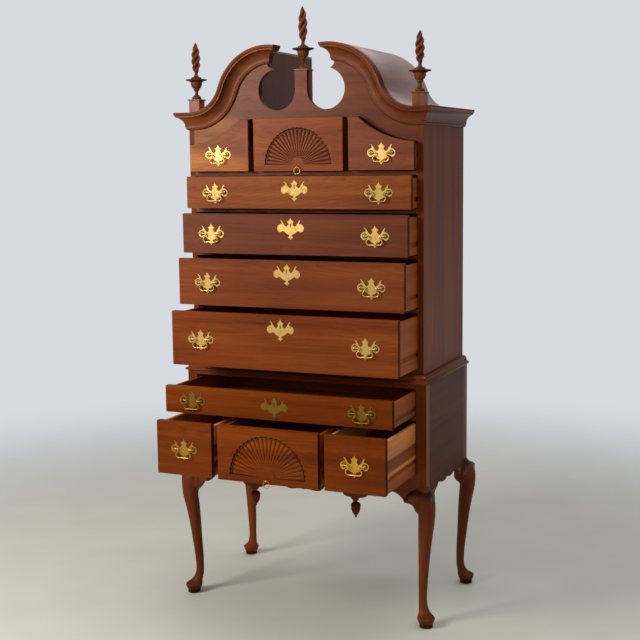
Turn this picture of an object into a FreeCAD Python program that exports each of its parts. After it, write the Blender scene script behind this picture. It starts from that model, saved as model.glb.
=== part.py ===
import FreeCAD, Part
import math
import os

# A bonnet-top highboy: a chest of drawers with a swan-neck pediment, standing in the waist
# moulding of a lower case on four cabriole legs. Eleven drawers stand open by different amounts.
# Millimetres. While it is built, x = 0 is the middle, y = 0 the front of the upper case,
# z = 0 the floor; at the end everything moves along y so that the origin is under the middle.

V = FreeCAD.Vector

# ---- driving dimensions -------------------------------------------------------------------
upper_width = 927.0
upper_depth = 473.0
side_thick = 21.2              # sides of the upper case
ledge = 18.0                   # the lower case is wider than the upper one by this, each side
lower_front = -25.0            # front of the lower case, ahead of the upper one
apron_top = 560.9
rail = 15.6                    # height of the rails between drawers
rail_depth = 60.0
back_thick = 10.0
upper_floor = 34.7             # bottom rail of the upper case, and the thinner board behind it
floor_board = 15.0
top_board = 12.0
back_drop = 60.0               # the lower back boards reach this far below the drawers

# drawer rows: height of each opening from the bottom up, and how far each row stands open
lower_openings = [198.1, 100.2]
upper_openings = [201.4, 173.1, 147.4, 119.0]
lower_pulled = [304.7, 236.5]
upper_pulled = [202.1, 141.8, 104.3, 68.0]
top_row_height = 190.0
top_row_pulled = 37.9
top_row_split = 186.5          # middle of the partitions in the top row
top_partition = 20.3
low_row_split = 206.4
low_partition = 22.7

# drawers
front_gap = 0.9                # round every drawer front
front_thick = 21.0
board = 13.0                   # sides and back of the drawer boxes
bottom_thick = 7.0
bottom_rise = 12.0             # underside of the bottom board above the sides' lower edge
box_inset = 0.8                # the sides stand this much inside the front's ends
side_drop = 10.0               # top of the sides below the top of the front
rear_drop = 8.0                # top of the back board below the top of the sides
under_gap = 3.0                # lower edge of the sides above the lower edge of the front
behind_box = 23.0              # space behind a closed drawer
groove_depth = 6.0
groove_height = 16.0
groove_share = 0.25            # height of the groove up the side, and the least that it may be
groove_least = 24.0
groove_start = 12.0            # the groove begins this far behind the front
runner_gap = 0.8
runner_start = 45.0

# legs: height, place of the middle along the diagonal from the post's outer corner, radius
post_foot = 446.0              # where the square post ends
leg_sections = [(41, -7, 27), (52, -15, 20.5), (70, -23.5, 16), (100, -27, 15), (150, -25, 16.5),
                (215, -18.5, 19), (285, -10, 22.5), (345, -1.5, 26.5), (400, 5.5, 29.5), (445, 4, 32),
                (475, -5, 33.5), (500, -21, 30), (520, -27.5, 20)]
foot_place = -1.0
pad_radius = 32.5
pad_height = 34.0
pad_rim = 25.0

# lower edge of the front apron and of the side panels
apron_thick = 20.0
side_panel = 20.0
knee_top = 493.0
block_long = 90.0
block_bulge = 11.0
arch_top = 494.0
lobe_half = 76.0               # of the middle lobe, where the arches begin
lobe_bottom = 464.0
pendant_share = 0.4278         # place of the pendants, as a share of the lower case's half width
pendant_bottom = 438.0
pendant_half = 5.5
pendant_reach = 46.0           # the shoulders of a pendant end this far from its middle
side_lobe = 492.0
side_cusp = 503.0

# waist moulding: how far above the foot of the upper case and beyond the lower case
waist_above = 15.0
waist_out = 8.0
waist_step = 0.62              # place of the step in its profile

# crown: the lower edge runs level, rises round one arc and turns over in a second one
cornice_rise = 155.0           # lower edge of the cornice above the floor of the top row
crown_height = 65.0
crown_out = 43.0
rise_in = 27.5                 # middle of the rising arc inside the end of the case
rise_radius = 190.0
scroll_x = 118.0               # middle of the scroll's arc
scroll_height = 231.0          # top of the lower edge in the scroll, above the level run
scroll_end = 131.0
scoop_out, scoop_rise, scoop_radius = 1.5, 294.0, 349.0   # the arc over each corner drawer
board_thick = 20.0
roof_thick = 8.0
cheek_x = 166.0
cheek_thick = 12.0
hole_x, hole_drop, hole_radius = 97.0, 94.0, 73.0   # its middle is below the top of the scroll
cusp_angle = 76.0              # place of the cusp on the rim of the hole, from the level
plinth = 49.0
plinth_drop = 27.0             # top of the middle plinth below the top of the scroll
corner_plinth = 43.0
corner_plinth_height = 45.0
corner_y = 25.0
cap_over = 3.5
cap_thick = 5.0
corner_flame = 124.0
centre_flame = 136.6

# carved fans: middle above the floor of the opening, radius and hub in the upper and lower case
fan_rise = 24.0
upper_fan, upper_hub = 131.0, 26.0
lower_fan, lower_hub = 147.0, 30.0
fan_rays = 24
fan_depth = 7.0                # of the grooves between the rays, at their outer ends
groove_spread = 0.7            # width of a groove, as a share of one ray and one groove

# brass
upper_pull_in = 141.5          # middle of the pulls inside the side of the upper case
lower_pull_in = 133.5
corner_pull_rise = 63.0        # pull of a corner drawer above the floor of the top row
upper_lock_drops = [50.7, 47.9, 49.8, 49.0]   # keyholes below the tops of their openings
lower_lock_drop = 51.2
ring_drop = 10.0               # ring post below the middle of a fan
post_spacing = 76.0
plate_thick = 1.6
plate_half = 52.5
plate_up = 37.0
plate_down = 43.5
nail_hole = 1.3                # radius, in the keyhole plates
nail_spacing = 66.0
key_bottom, key_top, key_eye, key_slot = 2.0, 13.5, 2.4, 1.4   # heights; radius and half width
pivot_out = 9.0
post_radius = 4.6
post_neck = 3.0
wire = 2.2
pin_radius = 2.0
pin_gap = 0.1
bail_drop = 31.0
bail_half = 29.5               # half the width of the bow of a bail
bail_neck = 19.0               # and of its neck, under the posts
bail_curl = 5.5
bail_lean = 50.0               # of the run from neck to bow, out of the upright
bail_grip = 0.7                # how much thicker it is at the middle of the grip
ring_radius = 12.0
ring_wire = 1.5
ring_gap = 0.9                 # the ring's bend turns in a straight hole
ring_post_length = 7.0
ring_post_radius = 3.2
ring_head_radius = 4.2

# ---- what follows from them -----------------------------------------------------------------
half = upper_width / 2
low_half = half + ledge
pendant_x = pendant_share * low_half
upper_pull_x = half - upper_pull_in
lower_pull_x = half - lower_pull_in
open_half = half - side_thick           # half the clear width between the stiles of both cases
post = ledge + side_thick
inside_back = upper_depth - back_thick
panel_front = lower_front + post
panel_back = upper_depth - post
lower_middle = (lower_front + upper_depth) / 2
low_row_top = apron_top + lower_openings[0]
low_long_bottom = low_row_top + rail
low_long_top = low_long_bottom + lower_openings[1]
panel_top = low_long_top + rail
lower_top = panel_top + rail
floor_top = lower_top + upper_floor
top_row_floor = floor_top + sum(upper_openings) + len(upper_openings) * rail
top_row_top = top_row_floor + top_row_height
bonnet_floor = top_row_top + top_board
cornice_bottom = top_row_floor + cornice_rise
roof_level = cornice_bottom + crown_height


# ---- helpers ------------------------------------------------------------------------------
def box(x0, x1, y0, y1, z0, z1):
    return Part.makeBox(x1 - x0, y1 - y0, z1 - z0, V(x0, y0, z0))


def flip(shape):
    """The same piece on the other side of the middle."""
    return shape.mirror(V(0, 0, 0), V(1, 0, 0))


def both(*shapes):
    return [piece for shape in shapes for piece in (shape, flip(shape))]


def joined(shapes):
    return shapes[0].multiFuse(shapes[1:]).removeSplitter() if len(shapes) > 1 else shapes[0]


def face_of(place, start, *runs):
    """A face inside runs of lines, arcs (a point on the way, the end) and curves through points."""
    edges, here = [], start
    for kind, *points in runs:
        spots = [place(*point) for point in [here] + points]
        if kind == "line":
            edges += [Part.LineSegment(a, b).toShape() for a, b in zip(spots, spots[1:])]
        elif kind == "arc":
            edges.append(Part.Arc(*spots).toShape())
        else:
            curve = Part.BSplineCurve()
            curve.interpolate(spots)
            edges.append(curve.toShape())
        here = points[-1]
    if math.dist(here, start) > 1e-6:
        edges.append(Part.LineSegment(place(*here), place(*start)).toShape())
    return Part.Face(Part.Wire(edges))


def front_face(y):
    return lambda x, z: V(x, y, z)


def side_face(x):
    return lambda y, z: V(x, y, z)


def flat_face(z):
    return lambda x, y: V(x, y, z)


def turned(profile, x, y, z):
    """A solid of revolution about a vertical line, from (radius, height) runs."""
    start, *runs = profile
    face = face_of(lambda r, h: V(x + r, y, z + h), start, *runs)
    return face.revolve(V(x, y, z), V(0, 0, 1), 360)


nodes = {}


def keep(name, *shapes):
    nodes.setdefault(name, []).extend(shapes)


# ---- cabriole legs ------------------------------------------------------------------------
past_knee = 120.0


def leg(x_sign, y_corner, y_sign):
    """Square post and curved leg in one piece; the corner of the post is its outermost edge."""
    corner = V(x_sign * low_half, y_corner, 0)
    diagonal = V(x_sign, y_sign, 0).normalize()
    shank = Part.makeLoft([Part.Wire(Part.makeCircle(radius, corner + diagonal * along + V(0, 0, z)))
                           for z, along, radius in leg_sections], True)
    inner_x, inner_y = x_sign * open_half, y_corner - y_sign * post
    far_x, far_y = inner_x - x_sign * past_knee, inner_y - y_sign * past_knee
    square = box(*sorted((inner_x, x_sign * low_half)), *sorted((inner_y, y_corner)), post_foot, panel_top)
    # above the foot of the post nothing stands inside the case
    beside = box(*sorted((inner_x, far_x)), *sorted((y_corner + y_sign * past_knee, far_y)),
                 post_foot, post_foot + past_knee)
    behind = box(*sorted((x_sign * (low_half + past_knee), far_x)), *sorted((inner_y, far_y)),
                 post_foot, post_foot + past_knee)
    neck = pad_height - 4
    pad = turned([(0, 0), ("line", (pad_rim - 3.5, 0)), ("arc", (pad_rim, 6), (pad_rim - 0.6, 12)),
                  ("line", (pad_rim - 1.2, 17), (pad_radius - 1.5, neck)),
                  ("arc", (pad_radius, pad_height), (pad_radius - 2, pad_height + 3)),
                  ("line", (pad_radius - 12, pad_height + 8), (0, pad_height + 10))],
                 *(corner + diagonal * foot_place))
    return joined([square, shank.cut(beside).cut(behind), pad])


for x_sign, side in ((-1, "left"), (1, "right")):
    keep("leg_front_" + side, leg(x_sign, lower_front, -1))
    keep("leg_back_" + side, leg(x_sign, upper_depth, 1))


# ---- knee blocks: glued under the apron and the side panels, beside every leg ---------------
def knee_block(place, thick):
    """An ear piece; `place` turns (distance from the leg, out of the case's face, height) into a point."""
    curl = face_of(lambda along, z: place(along, -thick, z), (block_long, knee_top),
                   ("curve", (0.83 * block_long, knee_top - 6), (0.62 * block_long, knee_top - 23),
                    (0.49 * block_long, knee_top - 38)),
                   ("curve", (0.39 * block_long, knee_top - 38), (0.27 * block_long, knee_top - 42),
                    (0.09 * block_long, knee_top - 57), (0, knee_top - 67)),
                   ("line", (0, knee_top)))
    low = knee_top - 80
    plan = face_of(lambda along, out: place(along, out, low), (block_long, 0),
                   ("curve", (block_long / 2, 2), (0, block_bulge)),
                   ("line", (0, -thick), (block_long, -thick)))
    bulk = curl.extrude(place(0, block_bulge, 0) - place(0, -thick, 0))
    return bulk.common(plan.extrude(V(0, 0, knee_top - low)))


front_block = knee_block(lambda along, out, z: V(open_half - along, lower_front - out, z), apron_thick)
side_block = knee_block(lambda along, out, z: V(low_half + out, panel_front + along, z), side_panel)
keep("knee_blocks", *both(front_block, side_block,
                          side_block.mirror(V(0, lower_middle, 0), V(0, 1, 0))))

# ---- side panels of the lower case, with a scalloped lower edge ------------------------------
block_edge = panel_front + block_long
panel_half = face_of(
    side_face(low_half - side_panel), (panel_front, knee_top),
    ("line", (block_edge + 4, knee_top)),
    ("curve", (block_edge + 8, side_cusp - 1), (block_edge + 18, side_cusp),
     (lower_middle - 72, side_lobe + 4), (lower_middle - 40, side_lobe),
     (lower_middle - 14, side_lobe + 3), (lower_middle, side_cusp)),
    ("line", (lower_middle, panel_top), (panel_front, panel_top))).extrude(V(side_panel, 0, 0))
panel = joined([panel_half, panel_half.mirror(V(0, lower_middle, 0), V(0, 1, 0))])
keep("lower_case_sides", *both(panel))

# ---- front apron, with two pendants that carry the turned drops ------------------------------
shoulder_in, shoulder_out = pendant_x - pendant_reach, pendant_x + pendant_reach
shoulder_z = pendant_bottom + 25
block_end = open_half - block_long


def between(start, end, share, z):
    """A point at a share of the way from start to end, at height z."""
    return (start + share * (end - start), z)


apron = face_of(
    front_face(lower_front), (0, lobe_bottom),
    ("curve", (0.4 * lobe_half, lobe_bottom + 1), (0.76 * lobe_half, lobe_bottom - 1),
     (0.9 * lobe_half, lobe_bottom + 2), (lobe_half, lobe_bottom + 18)),
    ("curve", between(lobe_half, shoulder_in, 0.14, arch_top - 8),
     between(lobe_half, shoulder_in, 0.43, arch_top),
     between(lobe_half, shoulder_in, 0.76, arch_top - 5), (shoulder_in, shoulder_z)),
    ("curve", (pendant_x - 34, pendant_bottom + 19), (pendant_x - 20, pendant_bottom + 17)),
    ("curve", (pendant_x - 12, pendant_bottom + 11), (pendant_x - pendant_half, pendant_bottom)),
    ("line", (pendant_x + pendant_half, pendant_bottom)),
    ("curve", (pendant_x + 12, pendant_bottom + 11), (pendant_x + 20, pendant_bottom + 17)),
    ("curve", (pendant_x + 34, pendant_bottom + 19), (shoulder_out, shoulder_z)),
    ("curve", between(shoulder_out, block_end, 0.18, arch_top - 6),
     between(shoulder_out, block_end, 0.48, arch_top),
     between(shoulder_out, block_end, 0.78, arch_top - 4), (block_end, knee_top)),
    ("line", (open_half, knee_top), (open_half, apron_top), (0, apron_top))).extrude(V(0, apron_thick, 0))
keep("front_apron", joined([apron, flip(apron)]))

# ---- acorn drops ----------------------------------------------------------------------------
acorn = [(0, 0), ("line", (5, 0), (5, -3)), ("arc", (13, -5.5), (17.5, -12)), ("arc", (18.8, -15), (18, -18)),
         ("line", (17, -18)), ("arc", (15.5, -35), (7, -50)), ("line", (4.2, -53), (4.2, -57)),
         ("arc", (3.4, -59.5), (1.5, -61)), ("line", (0, -61.2))]
keep("acorn_drops", *both(turned(acorn, pendant_x, lower_front + apron_thick / 2, pendant_bottom)))

# ---- rails and partitions of the lower case, and the frame that the upper case stands on ------
low_edge = low_row_split - low_partition / 2
low_corner = low_row_split + low_partition / 2
keep("lower_case_frame",
     box(-open_half, open_half, lower_front, lower_front + rail_depth, low_row_top, low_long_bottom),
     box(-open_half, open_half, lower_front, lower_front + rail_depth, low_long_top, panel_top),
     *both(box(low_edge, low_corner, lower_front, inside_back, apron_top, low_row_top)),
     box(-half, half, 0, rail_depth, panel_top, lower_top),
     box(-half, half, inside_back - rail_depth, upper_depth, panel_top, lower_top),
     *both(box(open_half, half, rail_depth, inside_back - rail_depth, panel_top, lower_top)))

# ---- waist moulding: three mitred lengths -----------------------------------------------------
waist_top = lower_top + waist_above


def waist_face(place, run):
    """Profile of the waist moulding, from the upper case out over a ledge of width `run` and past it."""
    lip = run + waist_out
    step = waist_step * lip
    return face_of(place, (0, waist_top), ("line", (3, waist_top)),
                   ("arc", (0.75 * step, waist_top - 4), (step, waist_top - 12)),
                   ("line", (step, waist_top - 14.5)),
                   ("arc", (0.7 * step + 0.3 * lip, panel_top + 11), (lip - 1, panel_top + 8)),
                   ("arc", (lip, panel_top + 4), (lip - 1.5, panel_top)), ("line", (0, panel_top)))


front_lip, side_lip = waist_out - lower_front, waist_out + ledge
past = 10.0
mitre_end = (half + 2 * side_lip, -2 * front_lip)
far = half + 4 * side_lip
tall = V(0, 0, waist_top - panel_top + 2 * past)
inside_mitre = face_of(flat_face(panel_top - past), (half, 0),
                       ("line", mitre_end, (half - past, -2 * front_lip), (half - past, 0)))
outside_mitre = face_of(flat_face(panel_top - past), (half, 0),
                        ("line", mitre_end, (far, -2 * front_lip), (far, past), (half, past)))
front_length = waist_face(lambda out, z: V(0, -out, z), -lower_front).extrude(V(half + side_lip + past, 0, 0))
front_length = front_length.cut(outside_mitre.extrude(tall))
side_length = waist_face(lambda out, z: V(half + out, -front_lip - past, z), ledge)
side_length = side_length.extrude(V(0, upper_depth + front_lip + past, 0)).cut(inside_mitre.extrude(tall))
keep("waist_moulding", joined([front_length, flip(front_length)]), *both(side_length))

# ---- upper case: sides, boards, rails and partitions ------------------------------------------
keep("upper_case_sides", *both(box(open_half, half, 0, upper_depth, lower_top, roof_level - roof_thick)))
rails, row_floors, level = [], [], floor_top
for opening in upper_openings:
    row_floors.append(level)
    level += opening
    rails.append(box(-open_half, open_half, 0, rail_depth, level, level + rail))
    level += rail
corner_in = top_row_split + top_partition / 2
centre_edge = top_row_split - top_partition / 2
partition = box(centre_edge, corner_in, 0, inside_back, top_row_floor, top_row_top)
keep("upper_case_frame", *rails, *both(partition))
keep("upper_case_boards", box(-open_half, open_half, 0, rail_depth, lower_top, floor_top),
     box(-open_half, open_half, rail_depth, inside_back, floor_top - floor_board, floor_top),
     box(-open_half, open_half, board_thick, inside_back, top_row_top, bonnet_floor))
keep("back_boards", box(-open_half, open_half, inside_back, upper_depth, lower_top, bonnet_floor),
     box(-open_half, open_half, inside_back, upper_depth, apron_top - back_drop, panel_top))

# ---- crown ------------------------------------------------------------------------------------
rise_x = half - rise_in
rise_z = cornice_bottom + rise_radius
gap_x = rise_x - scroll_x
gap_z = rise_z - cornice_bottom - scroll_height
# the scroll's radius follows from the two arcs touching
scroll_radius = (gap_x ** 2 + gap_z ** 2 - rise_radius ** 2) / (2 * (rise_radius - gap_z))
scroll_z = cornice_bottom + scroll_height - scroll_radius
turn = math.degrees(math.atan2(gap_x, rise_z - scroll_z))


def on_scroll(x, out):
    """Height of the scroll's edge at x, `out` above the lower edge of the crown."""
    return scroll_z + math.sqrt((scroll_radius + out) ** 2 - (x - scroll_x) ** 2)


def on_rise(angle, out):
    radius = rise_radius - out
    turned_by = math.radians(angle)
    return (rise_x - radius * math.sin(turned_by), rise_z - radius * math.cos(turned_by))


def scroll_point(angle, out):
    radius, lean = scroll_radius + out, math.radians(angle)
    return (scroll_x + radius * math.sin(lean), scroll_z + radius * math.cos(lean))


def s_curve(out):
    """Runs from the level outer end over the rise to the scroll, at one distance from the lower edge."""
    return [("arc", on_rise(turn / 2, out), on_rise(turn, out)),
            ("arc", scroll_point(turn / 2, out), (scroll_end, on_scroll(scroll_end, out)))]


def crown_face(place):
    """Section of the crown moulding: (how far out, how high)."""
    return face_of(place, (0, 0), ("line", (3, 1)), ("arc", (7.5, 4), (8.5, 9)),
                   ("line", (11, 10), (11, 14)),
                   ("arc", (18, 35), (35, 47)), ("line", (38, 48), (38, 52), (40, 53)),
                   ("arc", (42.3, 58), (crown_out, crown_height)), ("line", (0, crown_height)))


def swept(face, middle, angle):
    return face.revolve(V(middle[0], 0, middle[1]), V(0, 1, 0), angle)


beyond = 2 * crown_out         # the mouldings start this much too long and are cut to their mitres


def level_section(out, up):
    return V(rise_x, -out, cornice_bottom + up)


def leaning_section(out, up):
    x, z = on_rise(turn, up)
    return V(x, -out, z)


level_run = crown_face(level_section).extrude(V(half + beyond - rise_x, 0, 0))
rise = swept(crown_face(level_section), (rise_x, rise_z), turn)
scroll = swept(crown_face(leaning_section), (scroll_x, scroll_z), -turn - past)
outer_mitre = face_of(flat_face(cornice_bottom - past), (half, 0),
                      ("line", (half + beyond, -beyond), (half + beyond, 0)))
inner_mitre = face_of(flat_face(cornice_bottom - past), (scroll_end, 0),
                      ("line", (scroll_end - beyond, -beyond), (scroll_end - beyond, 0)))
high = V(0, 0, scroll_height + 2 * beyond)
swan_neck = joined([level_run, rise, scroll]).cut(outer_mitre.extrude(high)).cut(inner_mitre.extrude(high))
return_z = on_scroll(scroll_end, 0)
inner_return = crown_face(lambda out, up: V(scroll_end - out, -beyond, return_z + up))
inner_keep = face_of(flat_face(cornice_bottom), (scroll_end, 0),
                     ("line", (scroll_end, board_thick), (scroll_end - beyond, board_thick),
                      (scroll_end - beyond, -beyond)))
inner_return = inner_return.extrude(V(0, beyond + board_thick, 0)).common(inner_keep.extrude(high))
side_cornice = crown_face(lambda out, up: V(half + out, -beyond, cornice_bottom + up))
side_keep = face_of(flat_face(cornice_bottom - past), (half, 0),
                    ("line", (half + beyond, -beyond), (half + beyond, upper_depth), (half, upper_depth)))
side_cornice = side_cornice.extrude(V(0, beyond + upper_depth, 0)).common(side_keep.extrude(high))
keep("crown_mouldings", *both(swan_neck, inner_return))
keep("side_cornices", *both(side_cornice))

# ---- pediment board ---------------------------------------------------------------------------
scoop_x, scoop_z = half + scoop_out, cornice_bottom + scoop_rise


def scoop(x, radius=scoop_radius):
    return scoop_z - math.sqrt(radius ** 2 - (scoop_x - x) ** 2)


scroll_top = cornice_bottom + scroll_height


def on_hole(angle):
    return (hole_x + hole_radius * math.cos(math.radians(angle)),
            scroll_top - hole_drop + hole_radius * math.sin(math.radians(angle)))


scoop_start = scoop_x - math.sqrt(scoop_radius ** 2 - (scoop_z - top_row_top) ** 2)
scoop_middle = (scoop_start + open_half) / 2
board_out = crown_height - roof_thick
plinth_half = plinth / 2
plinth_top = scroll_top - plinth_drop
hole_meets = 180 - math.degrees(math.acos((hole_x - plinth_half) / hole_radius))
board_half = face_of(
    front_face(0), (0, top_row_top),
    ("line", (scoop_start, top_row_top)),
    ("arc", (scoop_middle, scoop(scoop_middle)), (open_half, scoop(open_half))),
    ("line", (open_half, cornice_bottom + board_out), (rise_x, cornice_bottom + board_out)),
    *s_curve(board_out),
    ("line", (scroll_end, return_z)),
    ("curve", (scroll_end - 3, return_z - 10), (scroll_end - 9, return_z - 16), on_hole(cusp_angle)),
    ("arc", on_hole(cusp_angle / 2), on_hole(0)), ("arc", on_hole(-45), on_hole(-90)),
    ("arc", on_hole(-135), on_hole(hole_meets)),
    ("line", (plinth_half, plinth_top), (0, plinth_top))).extrude(V(0, board_thick, 0))
keep("pediment_board", joined([board_half, flip(board_half)]))

# ---- bonnet: bent roof boards, cheeks beside the open middle, back boards ----------------------
def roof_runs(out):
    return [("arc", on_rise(turn / 2, out), on_rise(turn, out)),
            ("arc", scroll_point(turn / 2, out), (cheek_x, on_scroll(cheek_x, out)))]


def back_along(runs, start):
    """The same runs walked the other way."""
    points, walked = [start], []
    for kind, mid, end in runs:
        walked.append((kind, mid, points[-1]))
        points.append(end)
    return walked[::-1]


top_out, under_out = crown_height, crown_height - roof_thick
top_start = (rise_x, cornice_bottom + top_out)
under_start = (rise_x, cornice_bottom + under_out)
roof = face_of(front_face(0), (half, cornice_bottom + top_out), ("line", top_start), *roof_runs(top_out),
               ("line", (cheek_x, on_scroll(cheek_x, under_out))),
               *back_along(roof_runs(under_out), under_start), ("line", (half, cornice_bottom + under_out)))
roof = roof.extrude(V(0, upper_depth, 0))
lip_middle = (cheek_x + scroll_end) / 2
lip = face_of(
    front_face(0), (cheek_x, on_scroll(cheek_x, top_out)),
    ("arc", (lip_middle, on_scroll(lip_middle, top_out)), (scroll_end, on_scroll(scroll_end, top_out))),
    ("line", (scroll_end, on_scroll(scroll_end, under_out))),
    ("arc", (lip_middle, on_scroll(lip_middle, under_out)), (cheek_x, on_scroll(cheek_x, under_out))))
keep("bonnet_roof", *both(joined([roof, lip.extrude(V(0, board_thick, 0))])))

cheek_far = cheek_x + cheek_thick
cheek_mid = (cheek_x + cheek_far) / 2
cheek = face_of(
    front_face(board_thick), (cheek_x, bonnet_floor),
    ("line", (cheek_far, bonnet_floor), (cheek_far, on_scroll(cheek_far, under_out))),
    ("arc", (cheek_mid, on_scroll(cheek_mid, under_out)), (cheek_x, on_scroll(cheek_x, under_out))))
back = face_of(front_face(inside_back), (open_half, cornice_bottom + under_out), ("line", under_start),
               ("arc", on_rise(turn / 2, under_out), on_rise(turn, under_out)),
               ("arc", scroll_point(turn / 2, under_out), (cheek_far, on_scroll(cheek_far, under_out))),
               ("line", (cheek_far, bonnet_floor), (open_half, bonnet_floor)))
keep("bonnet_inner_boards", *both(cheek.extrude(V(0, upper_depth - board_thick, 0)),
                                  back.extrude(V(0, back_thick, 0))))

# ---- plinths and flame finials -----------------------------------------------------------------
corner_plinth_x = half - corner_plinth / 2
corner_top = roof_level + corner_plinth_height


def block(x, y, size, bottom, top):
    return box(x - size / 2, x + size / 2, y - size / 2, y + size / 2, bottom, top)


def cap(x, y, size, z):
    return block(x, y, size + 2 * cap_over, z, z + cap_thick)


keep("finial_plinths",
     box(-plinth_half, plinth_half, board_thick, plinth, bonnet_floor, plinth_top),
     cap(0, plinth_half, plinth, plinth_top),
     *both(block(corner_plinth_x, corner_y, corner_plinth, roof_level, corner_top).cut(roof),
           cap(corner_plinth_x, corner_y, corner_plinth, corner_top)))

urn_height = 85.0
urn = [(0, 0), ("line", (17.5, 0), (17.5, 6)), ("arc", (15, 14), (8, 18)), ("line", (6, 20), (6, 34)),
       ("line", (12, 37), (12, 40)), ("arc", (20, 50), (22, 62)), ("line", (30, 66), (40, 69)),
       ("arc", (41, 71.5), (40, 74)), ("line", (24, 77), (19, 79)), ("arc", (18, 83), (15, urn_height)),
       ("line", (0, urn_height))]
flame_turns = 1.45
flame_levels = 17
flame_radius = 12.5
flame_neck = 6.5
flame_valley = 0.55            # reach of the valleys, as a share of the ridges


def finial(x, y, z, flame_height):
    """A turned urn and the flame on it: a form with three ridges that twists as it tapers."""
    sections = []
    for step in range(flame_levels):
        share = step / (flame_levels - 1)
        swell = max(0, math.sin(math.pi * share ** 0.8)) ** 0.9
        radius = flame_neck * (1.12 - share) + flame_radius * swell * (1 - 0.3 * share)
        points = []
        for corner in range(6):
            reach = radius * (1.0 if corner % 2 == 0 else flame_valley)
            angle = 2 * math.pi * flame_turns * share + corner * math.pi / 3
            points.append(V(x + reach * math.cos(angle), y + reach * math.sin(angle),
                            z + urn_height + share * flame_height))
        ring = Part.BSplineCurve()
        ring.interpolate(points, PeriodicFlag=True)
        sections.append(Part.Wire(ring.toShape()))
    return [turned(urn, x, y, z), Part.makeLoft(sections, True)]


corner_finial = finial(corner_plinth_x, corner_y, corner_top + cap_thick, corner_flame)
keep("flame_finials", *finial(0, plinth_half, plinth_top + cap_thick, centre_flame), *both(*corner_finial))


# ---- drawer hardware: bat-wing plates with posts, swan bails, keyhole plates and ring pulls ------
def brass_plate():
    """A bat-wing plate on the plane y = 0, centred on the line of the posts; its outline is in shares
    of the half width and of the heights above and below that line."""
    def outline(across, up):
        return V(across * plate_half, -plate_thick, up * (plate_up if up > 0 else plate_down))

    face = face_of(
        outline, (0, 1),
        ("curve", (0.06, 0.81), (0.14, 0.68), (0.29, 0.62)),
        ("curve", (0.21, 0.53), (0.17, 0.4), (0.24, 0.22)),
        ("curve", (0.29, 0.13), (0.38, 0.17), (0.47, 0.31), (0.56, 0.5)),
        ("curve", (0.61, 0.63), (0.68, 0.72), (0.78, 0.76)),
        ("curve", (0.71, 0.65), (0.665, 0.53), (0.67, 0.39)),
        ("curve", (0.81, 0.34), (0.94, 0.21), (1, 0), (0.94, -0.22), (0.8, -0.34), (0.69, -0.32),
         (0.62, -0.25)),
        ("curve", (0.5, -0.28), (0.38, -0.38), (0.25, -0.49), (0.14, -0.54), (0.08, -0.61)),
        ("curve", (0.1, -0.68), (0.2, -0.74)), ("curve", (0.12, -0.83), (0.06, -0.88), (0, -1)))
    right = face.extrude(V(0, plate_thick, 0))
    return joined([right, flip(right)])


def stems():
    """The two round-headed posts of a pull, each drilled for the pins of the bail."""
    drilled = []
    for x in (-post_spacing / 2, post_spacing / 2):
        stem = Part.makeCylinder(post_neck, pivot_out - plate_thick, V(x, -plate_thick, 0), V(0, -1, 0))
        stem = stem.fuse(Part.makeSphere(post_radius, V(x, -pivot_out, 0)))
        drill = Part.makeCylinder(pin_radius + pin_gap, 20, V(x - 10, -pivot_out, 0), V(1, 0, 0))
        drilled.append(stem.cut(drill))
    return drilled


def bore(radius, x, z):
    """A cutter through the thickness of a plate."""
    return Part.makeCylinder(radius, 2 * plate_thick, V(x, -1.5 * plate_thick, z), V(0, 1, 0))


def keyhole():
    slot = box(-key_slot, key_slot, -1.5 * plate_thick, plate_thick / 2, key_bottom, key_top)
    return bore(key_eye, 0, key_top).fuse(slot)


def bail():
    """A swan-neck handle between two posts: from each pin it turns down into a neck, swings out to a
    bow and in to the grip. Its axis is the origin's x line."""
    start = post_spacing / 2 - post_radius
    sine, cosine = math.sin(math.radians(bail_lean)), math.cos(math.radians(bail_lean))
    top = V(bail_neck + bail_curl, 0, 0)
    neck = V(bail_neck, 0, -bail_curl)
    leave = V(top.x - bail_curl * cosine, 0, neck.z - bail_curl * sine)
    # the run and the bow's radius that reach both the bow's width and the drop
    out, down = bail_half - leave.x, leave.z + bail_drop
    bow = (sine * down - cosine * out) / (1 + sine - cosine)
    run = ((1 + sine) * out - (1 - cosine) * down) / (1 + sine - cosine)
    turn = leave + V(sine, 0, -cosine) * run
    middle = turn - V(cosine, 0, sine) * bow
    flat = middle - V(0, 0, bow)
    path = Part.Wire([Part.LineSegment(V(start, 0, 0), top).toShape(), Part.Arc(top, neck, leave).toShape(),
                      Part.LineSegment(leave, turn).toShape(),
                      Part.Arc(turn, middle + V(bow, 0, 0), flat).toShape(),
                      Part.LineSegment(flat, V(-1, 0, -bail_drop)).toShape()])
    arm = path.makePipeShell([Part.Wire(Part.makeCircle(wire, V(start, 0, 0), V(1, 0, 0)))], True, False)
    pin = Part.makeCylinder(pin_radius, 2 * post_radius + 3, V(start - 2, 0, 0), V(1, 0, 0))
    half_bail = joined([arm, pin])
    swell = 0.7 * bail_neck
    grip = Part.makeCone(wire, wire + bail_grip, swell, V(-swell, 0, -bail_drop), V(1, 0, 0))
    return joined([half_bail, flip(half_bail), grip, flip(grip)])


plate_model, stem_models, bail_model = brass_plate(), stems(), bail()
escutcheon_model = plate_model.cut([keyhole(), bore(nail_hole, -nail_spacing / 2, 0),
                                    bore(nail_hole, nail_spacing / 2, 0)])
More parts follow.
